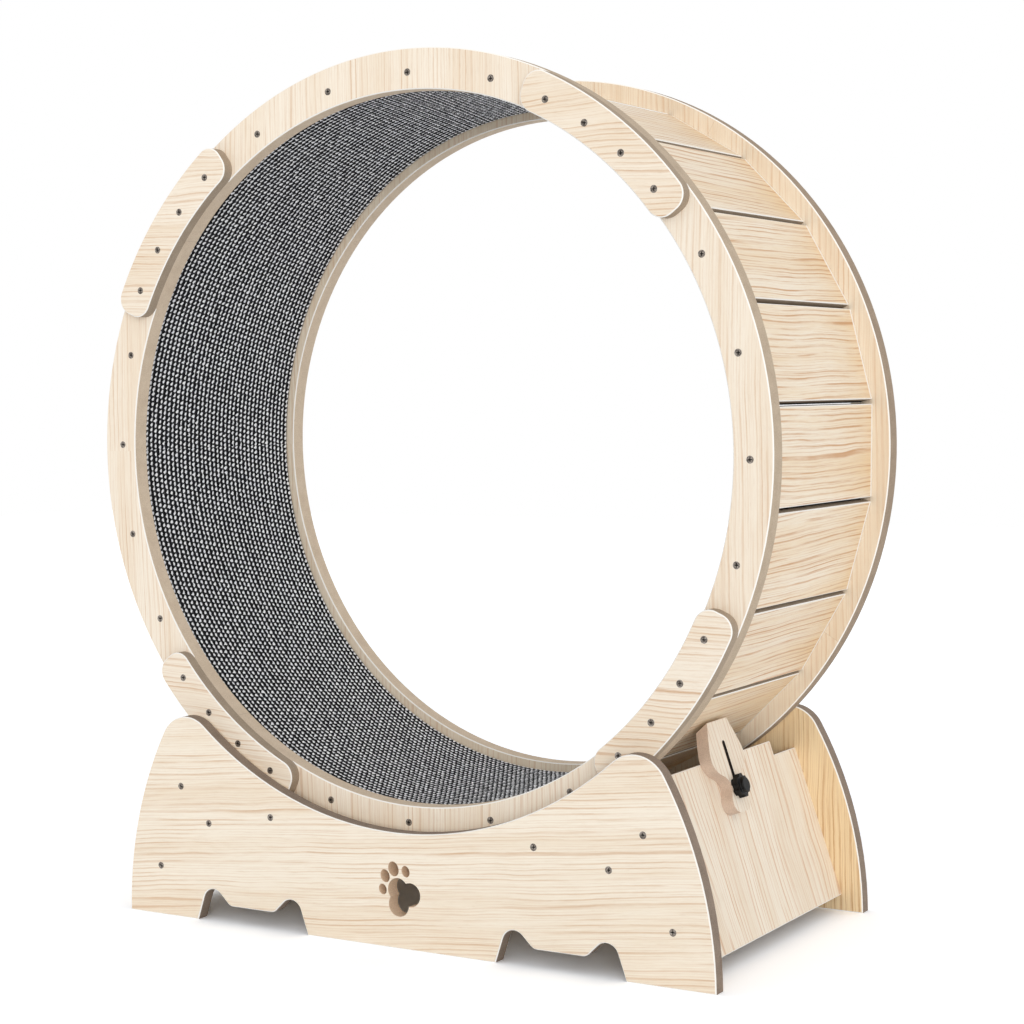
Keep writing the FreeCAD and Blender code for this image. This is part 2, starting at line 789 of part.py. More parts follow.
axleParts = []
for shape in axleBoltShapes():
    shape.Placement = Placement(Vector(0, 0, axleRise), Rotation(Vector(1, 0, 0), 90))
    holder = Part.makeCompound([shape])
    axleParts += atRollers(holder)
nodes["roller_axle_bolts"] = solidGroup("roller_axle_bolts", axleParts)


def rollerBody(label):
    # a flanged roller turned about its own Z, with the flange at the low end
    body = newBody(label)
    bore = size("axleRadius") + size("axleFit")
    proud = size("rollerHubProud")
    flangeTop = size("rollerFlangeWidth")
    far = treadOuter - flangeInner
    bevel = size("rollerBevel")
    points = [
        (bore, -proud),
        (size("rollerHubRadius"), -proud),
        (size("rollerHubRadius"), 0),
        (size("rollerFlangeRadius") - bevel, 0),
        (size("rollerFlangeRadius"), bevel),
        (size("rollerFlangeRadius"), flangeTop - bevel),
        (size("rollerFlangeRadius") - bevel, flangeTop),
        (size("rollerRadius"), flangeTop),
        (size("rollerRadius"), far - bevel),
        (size("rollerRadius") - bevel, far),
        (size("rollerHubRadius"), far),
        (size("rollerHubRadius"), far + proud),
        (bore, far + proud),
    ]
    curves = closedLines([Vector(x, z, 0) for x, z in points])
    sketch = sketchOn(body, label + "_profile", curves, "XZ_Plane")
    turned = body.newObject("PartDesign::Revolution", label + "_turned")
    turned.Profile = sketch
    turned.ReferenceAxis = (sketch, ["V_Axis"])
    turned.Angle = 360
    return body


for side, sign, name, hand in corners:
    label = f"roller_{side}_{name}"
    body = rollerBody(label)
    spot = atDepth(toHand(axleSpot, hand), sign * flangeInner)
    body.Placement = Placement(spot, facing(sign))
    nodes[label] = body


# ---- lock on the right end panel ----

# half width and height of the lock plate's wavy side, up the panel from its screw line
lockSide = [
    (30, 85),
    (38, 67),
    (40.5, 52),
    (31, 39.5),
    (15, 28.5),
    (13, 20),
    (16, 14),
    (20, 6),
    (19.5, -1),
    (15, -6.5),
]
lockFoot = (8, -9)
lockShoulder = (23, 101)
lockBack = halfPanel + size("lockSlideGap")
lockFace = lockBack + size("lockThickness")


def lockOutline():
    right = [Vector(x, y, 0) for x, y in [lockShoulder] + lockSide + [lockFoot]]
    left = [mirrored(point) for point in right]
    sideCurves = []
    for points in (right, left):
        curve = Part.BSplineCurve()
        curve.interpolate(points)
        sideCurves.append(curve)
    return sideCurves + [Part.LineSegment(right[0], left[0]), Part.LineSegment(right[-1], left[-1])]


def lockSlot():
    half = size("lockSlotWidth") / 2
    low = size("lockStudHeight")
    high = size("lockSlotTop")
    return [
        Part.LineSegment(Vector(-half, low, 0), Vector(-half, high, 0)),
        Part.Arc(Vector(-half, high, 0), Vector(0, high + half, 0), Vector(half, high, 0)),
        Part.LineSegment(Vector(half, high, 0), Vector(half, low, 0)),
        Part.Arc(Vector(half, low, 0), Vector(0, low - half, 0), Vector(-half, low, 0)),
    ]


lockBody = newBody("lock_blank")
lockPad = padOf(lockBody, sketchOn(lockBody, "lock_outline", lockOutline() + lockSlot()), "Sizes.lockThickness")
lockBody.Placement = Placement(onLockLine(-size("lockLift"), lockBack), rightPanelTurn)

# the plate's top is cut along the flat of the slat that it is pushed against
slatTurn = math.radians(size("wheelRestTurn") - lockSlat * slatPitch)
slatOut = Vector(math.cos(slatTurn), 0, math.sin(slatTurn))
cutDistance = slatOuterFlat + size("lockContactGap")
cutterSize = size("lockCutterSize")
cutter = doc.addObject("Part::Box", "lock_top_cutter")
for side in ("Length", "Width", "Height"):
    cutter.setExpression(side, "Sizes.lockCutterSize")
cutterTurn = Rotation(Vector(0, 1, 0).cross(slatOut), Vector(0, 1, 0), slatOut, "ZYX")
cutterCentre = Vector(0, -size("lockForward"), axisHeight) + slatOut * (cutDistance - cutterSize)
cutterCentre = cutterCentre - panelUp * size("lockLift")
halfCutter = cutterTurn.multVec(Vector(cutterSize / 2, cutterSize / 2, 0))
cutter.Placement = Placement(cutterCentre - halfCutter, cutterTurn)
drilled("lock_plate", lockBody, cutter)


def knobShape():
    # a scalloped clamp knob with its stud; own +Z points away from the panel
    disc = Part.makeCylinder(size("knobRadius"), size("knobThickness"))
    reach = size("knobRadius") + size("knobScallopRadius") / 2
    for n in range(knobScallopCount):
        centre = polar(reach, 360 / knobScallopCount * n)
        disc = disc.cut(Part.makeCylinder(size("knobScallopRadius"), size("knobThickness"), centre))
    boss = Part.makeCylinder(
        size("knobBossRadius"), size("knobBossHeight"), Vector(0, 0, size("knobThickness"))
    )
    body = disc.fuse(boss).removeSplitter()
    top = size("knobThickness") + size("knobBossHeight")
    rims = [edge for edge in body.Edges if inPlane(edge, top) or inPlane(edge, size("knobThickness"))]
    rims = [edge for edge in rims if edge.Length > 2 * math.pi * size("knobBossRadius") * 0.99]
    body = body.makeFillet(size("knobRimRound"), rims)
    depth = size("knobGap") + lockFace + halfPanel + size("studEndProud")
    stud = Part.makeCylinder(size("studRadius"), depth, Vector(0, 0, -depth))
    return body.fuse(stud).removeSplitter()


knob = doc.addObject("Part::Feature", "lock_knob")
knob.Label = "lock_knob"
knob.Shape = knobShape()
knobSpot = onLockLine(size("lockStudHeight"), lockFace + size("knobGap"))
knob.Placement = Placement(knobSpot, rightPanelTurn)
nodes["lock_knob"] = knob


def teeNutShape():
    barrel = panelPin(size("teeNutBarrelRadius"), -halfPanel, -halfPanel + size("teeNutBarrelDepth"))
    flange = panelPin(size("teeNutFlangeRadius"), -halfPanel - size("teeNutFlangeThickness"), -halfPanel)
    bore = panelPin(size("studRadius") + size("studFit"), -2 * lockFace, 2 * lockFace)
    return barrel.fuse(flange).removeSplitter().cut(bore)


teeNut = doc.addObject("Part::Feature", "lock_tee_nut")
teeNut.Label = "lock_tee_nut"
teeNut.Shape = teeNutShape()
nodes["lock_tee_nut"] = teeNut


# ---- check and write ----

doc.recompute()
for item in doc.Objects:
    if "Invalid" in item.State or "Error" in item.State:
        raise RuntimeError(f"{item.Label} could not be built: {item.State}")
for label, item in nodes.items():
    if item.Shape.isNull() or not item.Shape.isValid() or not item.Shape.Solids:
        raise RuntimeError(f"{label} has no sound shape")
for label, item in nodes.items():
    item.Shape.exportStep(f"parts/{label}.step")
whole = Part.makeCompound([item.Shape for item in nodes.values()]).BoundBox
print(f"{len(nodes)} pieces written")
print(f"whole: {whole.XLength:.1f} x {whole.YLength:.1f} x {whole.ZLength:.1f} mm")
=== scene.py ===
import math

import bpy
import numpy as np
from mathutils import Matrix, Vector


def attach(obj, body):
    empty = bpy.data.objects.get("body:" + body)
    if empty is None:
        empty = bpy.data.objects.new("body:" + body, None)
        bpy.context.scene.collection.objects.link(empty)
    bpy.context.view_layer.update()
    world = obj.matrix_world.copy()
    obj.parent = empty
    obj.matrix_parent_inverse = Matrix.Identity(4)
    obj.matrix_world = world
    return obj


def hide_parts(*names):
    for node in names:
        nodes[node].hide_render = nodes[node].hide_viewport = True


# A cat exercise wheel in pale wood-faced board, lined with ribbed loop carpet.
# Metres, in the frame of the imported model: +Z up, wheel axis along Y, front at -Y.

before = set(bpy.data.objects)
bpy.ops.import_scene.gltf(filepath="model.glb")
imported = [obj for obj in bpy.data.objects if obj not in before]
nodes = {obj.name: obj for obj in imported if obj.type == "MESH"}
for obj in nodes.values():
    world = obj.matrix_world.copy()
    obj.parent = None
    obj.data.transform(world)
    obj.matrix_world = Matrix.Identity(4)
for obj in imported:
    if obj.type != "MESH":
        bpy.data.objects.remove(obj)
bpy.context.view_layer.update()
print("model loaded")


def feed(tree, item, target):
    # links a value to a socket, or sets a plain number or colour on it
    if isinstance(item, Value):
        tree.links.new(item.socket, target)
    else:
        target.default_value = item


class Value:
    # a socket of a material: an expression on it adds Math nodes
    def __init__(self, tree, socket=None):
        self.tree = tree
        self.socket = socket

    def node(self, kind, inputs=None, output=0, **settings):
        made = self.tree.nodes.new("ShaderNode" + kind)
        for name, setting in settings.items():
            setattr(made, name, setting)
        for name, item in (inputs or {}).items():
            feed(self.tree, item, made.inputs[name])
        return Value(self.tree, made.outputs[output])

    def math(self, operation, *others):
        return self.node("Math", dict(enumerate((self,) + others)), operation=operation)

    def __add__(self, other):
        return self.math("ADD", other)

    def __sub__(self, other):
        return self.math("SUBTRACT", other)

    def __rsub__(self, other):
        return (self - other) * -1.0

    def __mul__(self, other):
        return self.math("MULTIPLY", other)

    def __truediv__(self, other):
        return self.math("DIVIDE", other)

    __radd__ = __add__
    __rmul__ = __mul__

    def __abs__(self):
        return self.math("ABSOLUTE")

    def ramp(self, low, high, start=0.0, end=1.0):
        # a smooth step from start to end while this value goes from low to high
        inputs = {"Value": self, "From Min": low, "From Max": high, "To Min": start, "To Max": end}
        return self.node("MapRange", inputs, interpolation_type="SMOOTHSTEP")

    def part(self, axis):
        return self.node("SeparateXYZ", {"Vector": self}, output="XYZ".index(axis))

    def along(self, direction):
        inputs = {0: self, 1: tuple(direction)}
        return self.node("VectorMath", inputs, output="Value", operation="DOT_PRODUCT")

    def point(self, x, y, z):
        return self.node("CombineXYZ", {"X": x, "Y": y, "Z": z})

    def noise(self, scale=1.0, detail=2.0, rough=0.5):
        inputs = {"Vector": self, "Scale": scale, "Detail": detail, "Roughness": rough}
        return self.node("TexNoise", inputs, noise_dimensions="3D")

    def mixed(self, first, second):
        # this value is the share of the second colour; 6, 7 and output 2 are the colour sockets
        return self.node("Mix", {0: self, 6: first, 7: second}, output=2, data_type="RGBA")


def rgb(red, green, blue):
    # screen colour of 0 to 255 to the linear colour that a shader takes
    parts = []
    for part in (red, green, blue):
        share = part / 255
        parts.append(share / 12.92 if share <= 0.04045 else ((share + 0.055) / 1.055) ** 2.4)
    return (*parts, 1.0)


def newMaterial(name):
    material = bpy.data.materials.new(name)
    material.use_nodes = True
    start = Value(material.node_tree)
    return material, start.node("TexCoord", output="Object"), start.node("TexCoord", output="Normal")


def finishMaterial(material, colour, roughness, bump=None, bumpDepth=0.0, metallic=0.0, constants=None):
    tree = material.node_tree
    sockets = {"Base Color": colour, "Roughness": roughness, "Metallic": metallic, **(constants or {})}
    if bump is not None:
        sockets["Normal"] = bump.node("Bump", {"Height": bump, "Strength": 1.0, "Distance": bumpDepth})
    for name, item in sockets.items():
        feed(tree, item, tree.nodes["Principled BSDF"].inputs[name])


def dress(names, material):
    for name in names:
        slots = nodes[name].data.materials
        slots.clear()
        slots.append(material)


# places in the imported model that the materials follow, in metres and radians
place = {
    "axis": 0.560,
    "restTurn": math.radians(-1.06),
    "slats": 24,
    "radius": 0.450,
    "inner": 0.404,
    "halfTrack": 0.149,
    "slatInner": 0.4183,
    "slatOuter": 0.4283,
    "panelTilt": math.radians(18.9),
    "boardTilt": math.radians(9.5),
    "lockMiddle": -0.015,
}
slatPitch = 2 * math.pi / place["slats"]
slatNames = [f"slat_{n:02d}" for n in range(1, place["slats"] + 1)]
quarterTurn = math.pi / 2


def wheelTurn(position):
    # angle round the wheel's axis
    height = position.part("Z") - place["axis"]
    return height.math("ARCTAN2", position.part("X"))


def wheelRadius(position):
    height = position.part("Z") - place["axis"]
    return (position.part("X") * position.part("X") + height * height).math("SQRT")


def tilted(angle, hand):
    # outward direction of a board that leans by this angle, on the right for hand 1 and the left for -1
    return Vector((hand * math.cos(angle), 0, math.sin(angle)))


def faceAmount(normal, direction):
    # 1 on the flat faces of a board and 0 on its cut edges
    return abs(normal.along(direction))


boardColours = {
    "cream": rgb(245, 233, 215),
    "tan": rgb(233, 212, 184),
    "line": rgb(208, 168, 130),
    "edge": rgb(178, 160, 139),
    "edgeDark": rgb(158, 140, 120),
    # painted highlight: the near-white colour of the sawn bevels and the slats' rims
    "bevel": rgb(253, 249, 242),
    "seam": rgb(120, 96, 74),
}

# figure of the grain: lengths in metres, shares from 0 to 1
grain = {
    "pitch": 0.0068,
    "finePitch": 0.0031,
    "loose": 3.4,
    "fineLoose": 2.6,
    "wave": 0.034,
    "swirl": 0.012,
    "jitter": 0.0015,
    "fineShare": 0.36,
    "lineShare": 0.66,
    "poreShare": 0.10,
    "patchShare": 0.5,
    "fibreShare": 0.9,
    "relief": 0.00016,
}

# noise of the grain: scale along it and across it, shift in depth, detail and roughness
grainNoise = {
    "wave": (1.6, 3.6, 0.0, 1.0, 0.5),
    "swirl": (6.0, 9.0, 4.0, 2.0, 0.5),
    "jitter": (60.0, 110.0, 0.0, 3.0, 0.65),
    "spacing": (1.1, 0.22, 0.0, 2.0, 0.55),
    "fade": (7.0, 0.45, 9.0, 3.0, 0.6),
    "patch": (1.3, 26.0, 0.0, 3.0, 0.6),
    "fibre": (30.0, 800.0, 0.0, 2.0, 0.6),
    "pore": (80.0, 1100.0, 0.0, 1.0, 0.5),
}


def grainAt(name, alongGrain, across, depth):
    along, side, shift, detail, rough = grainNoise[name]
    return depth.point(alongGrain * along, across * side, depth + shift).noise(1.0, detail, rough)


def ringLines(alongGrain, bent, depth, pitch, loose):
    # one dark line for each year of growth, soft on one side and crisp on the other, fading in and out
    years = bent / pitch
    spacing = grainAt("spacing", alongGrain, years, depth)
    growth = (years + (spacing - 0.5) * loose).math("FRACT")
    line = growth.ramp(0.58, 0.88) * growth.ramp(0.93, 1.0, 1.0, 0.0)
    return line * grainAt("fade", alongGrain, years, depth).ramp(0.34, 0.64)


def boardMaterial(made, alongGrain, across, depth, facing, look=None):
    # alongGrain, across and depth are lengths in metres; facing is 1 on a face and 0 on a cut edge
    style = {"waves": 1.0, "ripple": 1.0, "warmth": 0.0, "lines": 1.0, "pitch": 1.0, **boardColours}
    style.update(look or {})
    material, position, normal = made
    bent = across
    for name, strength in (("wave", "waves"), ("swirl", "waves"), ("jitter", "ripple")):
        bent = bent + (grainAt(name, alongGrain, across, depth) - 0.5) * (grain[name] * style[strength])
    line = ringLines(alongGrain, bent, depth, grain["pitch"] * style["pitch"], grain["loose"])
    finePitch = grain["finePitch"] * style["pitch"]
    fine = ringLines(alongGrain, bent, depth + 2.0, finePitch, grain["fineLoose"])
    line = line * (grain["lineShare"] * style["lines"]) + fine * (grain["fineShare"] * style["lines"])
    line = line.math("MINIMUM", 1.0)
    patch = grainAt("patch", alongGrain, bent, depth).ramp(0.36, 0.68)
    fibre = grainAt("fibre", alongGrain, bent, depth)
    pore = grainAt("pore", alongGrain, across, depth).ramp(0.64, 0.72)
    tone = patch * grain["patchShare"] + (fibre - 0.5) * grain["fibreShare"] + style["warmth"]
    tone = tone.math("MAXIMUM", 0.0).math("MINIMUM", 1.0)
    face = tone.mixed(style["cream"], style["tan"])
    face = (line + pore * grain["poreShare"]).math("MINIMUM", 1.0).mixed(face, style["line"])
    # the cut edge is even, with fine specks in soft clouds
    speck = position.noise(900.0, 2.0, 0.6)
    cloud = position.noise(60.0, 2.0, 0.5)
    grit = (speck * 0.7 + cloud * 0.3).ramp(0.35, 0.65)
    edge = grit.mixed(style["edge"], style["edgeDark"])
    # the sawn bevel faces halfway between the two; it is painted almost white as a painted highlight
    bevel = facing.ramp(0.25, 0.45) * facing.ramp(0.86, 0.95, 1.0, 0.0)
    onFace = facing.ramp(0.9, 0.97)
    colour = bevel.mixed(onFace.mixed(edge, face), style["bevel"])
    # painted highlight along the slats' side and end rims, in the bevel colour
    if "highlightShare" in style:
        colour = style["highlightShare"].mixed(colour, style["bevel"])
    if "seamShare" in style:
        colour = style["seamShare"].mixed(colour, style["seam"])
    rough = onFace.ramp(0.0, 1.0, 0.85, 0.5) + (fibre - 0.5) * 0.12
    relief = onFace * (fibre * 0.5 - line * 0.6 - pore * 0.5) + (1.0 - onFace) * speck
    finishMaterial(material, colour, rough, relief, grain["relief"])


# joint is the turn in slats from the wheel's resting turn to the first joint of the ring
rings = {
    "front": {
        "sign": -1,
        "joint": 3.5,
        "seam": 0.25,
        "outerEdge": (rgb(202, 183, 159), rgb(180, 161, 138)),
        "face": (rgb(246, 234, 216), rgb(234, 213, 186)),
    },
    # painted shade: the rear ring's face and outer edge colours are darker copies of the front ring's
    "rear": {
        "sign": 1,
        "joint": 4.0,
        "seam": 0.15,
        "outerEdge": (rgb(174, 153, 131), rgb(150, 131, 111)),
        "face": (rgb(238, 224, 202), rgb(224, 203, 175)),
    },
}
ringBoard = {
    "waves": 0.8,
    "lines": 0.75,
    "litInnerEdge": (rgb(226, 207, 183), rgb(208, 187, 162)),
    "seamFrom": 0.0002,
    "seamTo": 0.0006,
    "edgeBlend": 0.01,
}


def paintRings():
    middle = (place["radius"] + place["inner"]) / 2
    for side, ring in rings.items():
        made = newMaterial(side + "_ring_board")
        material, position, normal = made
        firstJoint = place["restTurn"] + slatPitch * ring["joint"]
        turn = (wheelTurn(position) - firstJoint) / quarterTurn
        toJoint = abs(turn - turn.math("ROUND")) * (quarterTurn * place["radius"])
        depth = position.part("Y") * 3.0 + turn.math("FLOOR") * 3.7 + ring["sign"] * 20.0
        # painted light: the inner edge is painted paler, as lit, and the outer one darker, as shaded
        outwards = wheelRadius(position).ramp(middle - ringBoard["edgeBlend"], middle + ringBoard["edgeBlend"])
        pale, dark = (outwards.mixed(*pair) for pair in zip(ringBoard["litInnerEdge"], ring["outerEdge"]))
        look = {
            "waves": ringBoard["waves"],
            "lines": ringBoard["lines"],
            "seamShare": toJoint.ramp(ringBoard["seamFrom"], ringBoard["seamTo"], ring["seam"], 0.0),
            "cream": ring["face"][0],
            "tan": ring["face"][1],
            "edge": pale,
            "edgeDark": dark,
        }
        facing = faceAmount(normal, (0, 1, 0))
        boardMaterial(made, position.part("Z"), position.part("X"), depth, facing, look)
        dress([f"{side}_ring_segment_{n}" for n in range(1, 5)], material)


spliceBoard = {"waves": 1.2, "warmth": 0.06}


def paintSplices():
    for number in range(1, 5):
        made = newMaterial(f"splice_board_{number}")
        material, position, normal = made
        depth = position.part("Y") * 3.0 + (number * 5.3 + 31.0)
        facing = faceAmount(normal, (0, 1, 0))
        boardMaterial(made, position.part("X"), position.part("Z"), depth, facing, spliceBoard)
        dress([f"front_splice_plate_{number}"], material)


slatBoard = {
    "look": {
        "waves": 0.8,
        "ripple": 0.3,
        "lines": 1.35,
        "line": rgb(206, 156, 110),
        "cream": rgb(249, 237, 217),
        "tan": rgb(238, 210, 170),
    },
    "grainRadius": 0.42,
    "frontTone": 0.12,
    "rearShadeTone": 0.55,
    "rearShadeEnd": 0.16,
    "sideHighlight": (0.0034, 0.0042, 0.8, 0.0),
    "endHighlight": (0.0040, 0.0052, 1.0, 0.0),
}


def paintSlats():
    made = newMaterial("slat_board")
    material, position, normal = made
    turn = (wheelTurn(position) - place["restTurn"]) / slatPitch
    index = turn.math("ROUND")
    middle = index * slatPitch + place["restTurn"]
    facing = abs(normal.part("X") * middle.math("COSINE") + normal.part("Z") * middle.math("SINE"))
    across = (turn - index) * (slatPitch * slatBoard["grainRadius"])
    # painted highlight: pale lines along the slat's sides and ends
    toSide = (0.5 - abs(turn - index)) * (slatPitch * place["slatOuter"])
    toEnd = place["halfTrack"] - abs(position.part("Y"))
    highlightLine = toSide.ramp(*slatBoard["sideHighlight"]).math("MAXIMUM", toEnd.ramp(*slatBoard["endHighlight"]))
    # painted shade: the boards are painted darker and warmer towards the rear ring
    warmth = (0.0, slatBoard["rearShadeEnd"], slatBoard["frontTone"], slatBoard["rearShadeTone"])
    look = {
        **slatBoard["look"],
        "warmth": position.part("Y").ramp(*warmth),
        "highlightShare": highlightLine * facing.ramp(0.9, 0.97),
    }
    boardMaterial(made, position.part("Y"), across, index * 4.1, facing, look)
    dress(slatNames, material)


# lean is how far the grain rises to the right
basePlates = {
    "front": {"lean": 0.10, "lines": 0.9, "ripple": 0.6, "cream": rgb(248, 237, 219)},
    "rear": {
        "lines": 1.2,
        "cream": rgb(243, 219, 178),
        "tan": rgb(228, 194, 146),
        "line": rgb(196, 150, 102),
    },
}
# the paw-shaped hole's middle and half size, with its walls painted paler than the other cut edges as painted
# light
paw = {
    "x": 0.004,
    "z": 0.064,
    "half": 0.050,
    "fade": 0.006,
    "litWalls": (rgb(236, 210, 182), rgb(214, 186, 158)),
    "edges": (rgb(154, 136, 120), rgb(128, 112, 98)),
}


def paintBasePlates():
    for side, sign in (("front", -1), ("rear", 1)):
        made = newMaterial(side + "_stand_board")
        material, position, normal = made
        sideways, upwards = position.part("X"), position.part("Z")
        nearPaw = abs(sideways - paw["x"]).math("MAXIMUM", abs(upwards - paw["z"]))
        nearPaw = nearPaw.ramp(paw["half"], paw["half"] + paw["fade"], 1.0, 0.0)
        pale, dark = (nearPaw.mixed(*pair) for pair in zip(paw["edges"], paw["litWalls"]))
        look = {**basePlates[side], "edge": pale, "edgeDark": dark}
        if side == "front":
            along, across = sideways, upwards - sideways * look["lean"]
        else:
            along, across = upwards, sideways
        depth = position.part("Y") * 3.0 + (8.0 + sign * 4.0)
        boardMaterial(made, along, across, depth, faceAmount(normal, (0, 1, 0)), look)
        dress([side + "_base_plate"], material)


panelBoard = {
    "waves": 2.0,
    "warmth": -0.04,
    "lines": 1.1,
    "pitch": 1.4,
    "cream": rgb(250, 239, 221),
    "line": rgb(216, 174, 136),
}


def paintPanels():
    for name, hand in (("right", 1), ("left", -1)):
        out = tilted(place["panelTilt"], hand)
        up = Vector((-out.z * hand, 0, out.x * hand))
        made = newMaterial(name + "_panel_board")
        material, position, normal = made
        depth = position.along(out) * 3.0 + hand * 12.0
        facing = faceAmount(normal, out)
        boardMaterial(made, position.along(up), position.part("Y"), depth, facing, panelBoard)
        dress([name + "_end_panel"], material)
        made = newMaterial(name + "_inner_board")
        material, position, normal = made
        upwards = tilted(quarterTurn - place["boardTilt"], hand)
        depth = position.part("Z") + hand * 6.0
        boardMaterial(made, position.part("Y"), position.part("X"), depth, faceAmount(normal, upwards))
        dress([name + "_roller_board"], material)


# edges are pale and dark, and near black in the slot, whose walls get painted shade
lockBoard = {
    "look": {"waves": 0.5, "lines": 0.8},
    "slotHalf": 0.0036,
    "slotFade": 0.0006,
    "edges": (rgb(216, 194, 176), rgb(196, 174, 156)),
    "slotShade": (rgb(44, 32, 26), rgb(30, 22, 18)),
}


def paintLockPlate():
    out = tilted(place["panelTilt"], 1)
    up = Vector((-out.z, 0, out.x))
    made = newMaterial("lock_board")
    material, position, normal = made
    inSlot = abs(position.part("Y") - place["lockMiddle"])
    inSlot = inSlot.ramp(lockBoard["slotHalf"], lockBoard["slotHalf"] + lockBoard["slotFade"], 1.0, 0.0)
    pale, dark = (inSlot.mixed(*pair) for pair in zip(lockBoard["edges"], lockBoard["slotShade"]))
    look = {**lockBoard["look"], "edge": pale, "edgeDark": dark}
    depth = position.along(out) * 3.0 + 40.0
    boardMaterial(made, position.along(up), position.part("Y"), depth, faceAmount(normal, out), look)
    dress(["lock_plate"], material)


paintRings()
paintSplices()
paintSlats()
paintBasePlates()
paintPanels()
paintLockPlate()
print("boards painted")


# heads are at these distances from the middle plane, and get painted shade down in the cross recess
screwSteel = {
    "faces": {"ring": 0.171, "splice": 0.186, "base": 0.207},
    "recess": (0.0009, 0.0002),
    "light": rgb(170, 160, 150),
    "dark": rgb(88, 80, 73),
    "recessShade": rgb(8, 6, 5),
    "turning": 1400.0,
    "blotch": 420.0,
    "relief": 0.00006,
}


def paintScrews():
    deep, shallow = screwSteel["recess"]
    for name, face in screwSteel["faces"].items():
        material, position, normal = newMaterial(name + "_screw_steel")
        # painted shade: near black down in the cross recess
        recess = abs(position.part("Y")).ramp(face - deep, face - shallow, 1.0, 0.0)
        turning = position.noise(screwSteel["turning"], 2.0, 0.6)
        blotch = position.noise(screwSteel["blotch"], 2.0, 0.5).ramp(0.3, 0.7)
        colour = recess.mixed(blotch.mixed(screwSteel["light"], screwSteel["dark"]), screwSteel["recessShade"])
        rough = turning.ramp(0.3, 0.7, 0.28, 0.5) + recess * 0.3
        metallic = recess.ramp(0.0, 1.0, 0.85, 0.2)
        finishMaterial(material, colour, rough, turning, screwSteel["relief"], metallic)
        dress([name + "_screws"], material)


# colours are mixed by a noise; marks are the scales of the scratches in X, Y and Z
zincSteel = {
    "colours": (rgb(196, 199, 203), rgb(160, 163, 168)),
    "spangle": 260.0,
    "marks": (60.0, 900.0, 300.0),
    "rough": (0.3, 0.7, 0.25, 0.42),
    "relief": 0.00004,
    "metallic": 0.95,
}
bracketScrewSteel = {
    "colours": (rgb(150, 148, 142), rgb(116, 113, 108)),
    "speck": 900.0,
    "rough": (0.3, 0.7, 0.3, 0.5),
    "relief": 0.00005,
    "metallic": 0.9,
}
knobPlastic = {
    "colours": (rgb(5, 5, 5), rgb(14, 13, 12)),
    "worn": 140.0,
    "speck": 2400.0,
    "rough": (0.3, 0.7, 0.38, 0.55),
    "relief": 0.00008,
    "gloss": {"Specular IOR Level": 0.3},
}
rollerPlastic = {
    "colours": (rgb(48, 48, 50), rgb(78, 78, 80)),
    "marks": (40.0, 700.0, 40.0),
    "speck": 1500.0,
    "rough": (0.3, 0.7, 0.42, 0.58),
    "relief": 0.00006,
}


def marksAt(position, scales):
    # streaks, finer along one axis than the others
    parts = [position.part(axis) * scale for axis, scale in zip("XYZ", scales)]
    return position.point(*parts).noise(1.0, 2.0, 0.6)


def paintZinc():
    material, position, normal = newMaterial("zinc_steel")
    scratch = marksAt(position, zincSteel["marks"])
    colour = position.noise(zincSteel["spangle"], 3.0, 0.6).ramp(0.3, 0.7).mixed(*zincSteel["colours"])
    rough = scratch.ramp(*zincSteel["rough"])
    finishMaterial(material, colour, rough, scratch, zincSteel["relief"], zincSteel["metallic"])
    dress(["roller_brackets", "roller_axle_bolts", "lock_tee_nut"], material)


def paintBracketScrews():
    steel = bracketScrewSteel
    material, position, normal = newMaterial("bracket_screw_steel")
    speck = position.noise(steel["speck"], 2.0, 0.5)
    colour = speck.ramp(0.3, 0.7).mixed(*steel["colours"])
    finishMaterial(material, colour, speck.ramp(*steel["rough"]), speck, steel["relief"], steel["metallic"])
    dress(["bracket_screws"], material)


def paintKnob():
    plastic = knobPlastic
    material, position, normal = newMaterial("knob_plastic")
    speck = position.noise(plastic["speck"], 2.0, 0.6)
    colour = position.noise(plastic["worn"], 2.0, 0.5).ramp(0.35, 0.7).mixed(*plastic["colours"])
    rough = speck.ramp(*plastic["rough"])
    finishMaterial(material, colour, rough, speck, plastic["relief"], constants=plastic["gloss"])
    dress(["lock_knob"], material)


def paintRollers():
    plastic = rollerPlastic
    material, position, normal = newMaterial("roller_plastic")
    speck = position.noise(plastic["speck"], 2.0, 0.5)
    colour = marksAt(position, plastic["marks"]).ramp(0.4, 0.75).mixed(*plastic["colours"])
    finishMaterial(material, colour, speck.ramp(*plastic["rough"]), speck, plastic["relief"])
    dress([f"roller_{end}_{hand}" for end in ("front", "rear") for hand in ("right", "left")], material)


paintScrews()
paintZinc()
paintBracketScrews()
paintKnob()
paintRollers()
print("metal and plastic painted")


# ribs run round the wheel; the carpet's seam lies on one slat
carpet = {
    "ribs": 37,
    "ribSteps": 8,
    "roundSteps": 40,
    "backing": 0.0024,
    "thick": 0.0040,
    "sideGap": 0.0003,
    "slatGap": 0.0002,
    "seamSlat": 0.5,
    "seamGap": 0.0006,
    "loop": 0.0062,
    "loopShift": 1.9,
    "loopDepth": 0.18,
    "ribPower": 0.7,
}
halfCarpet = place["halfTrack"] - carpet["sideGap"]
carpetOuter = place["slatInner"] - carpet["slatGap"]


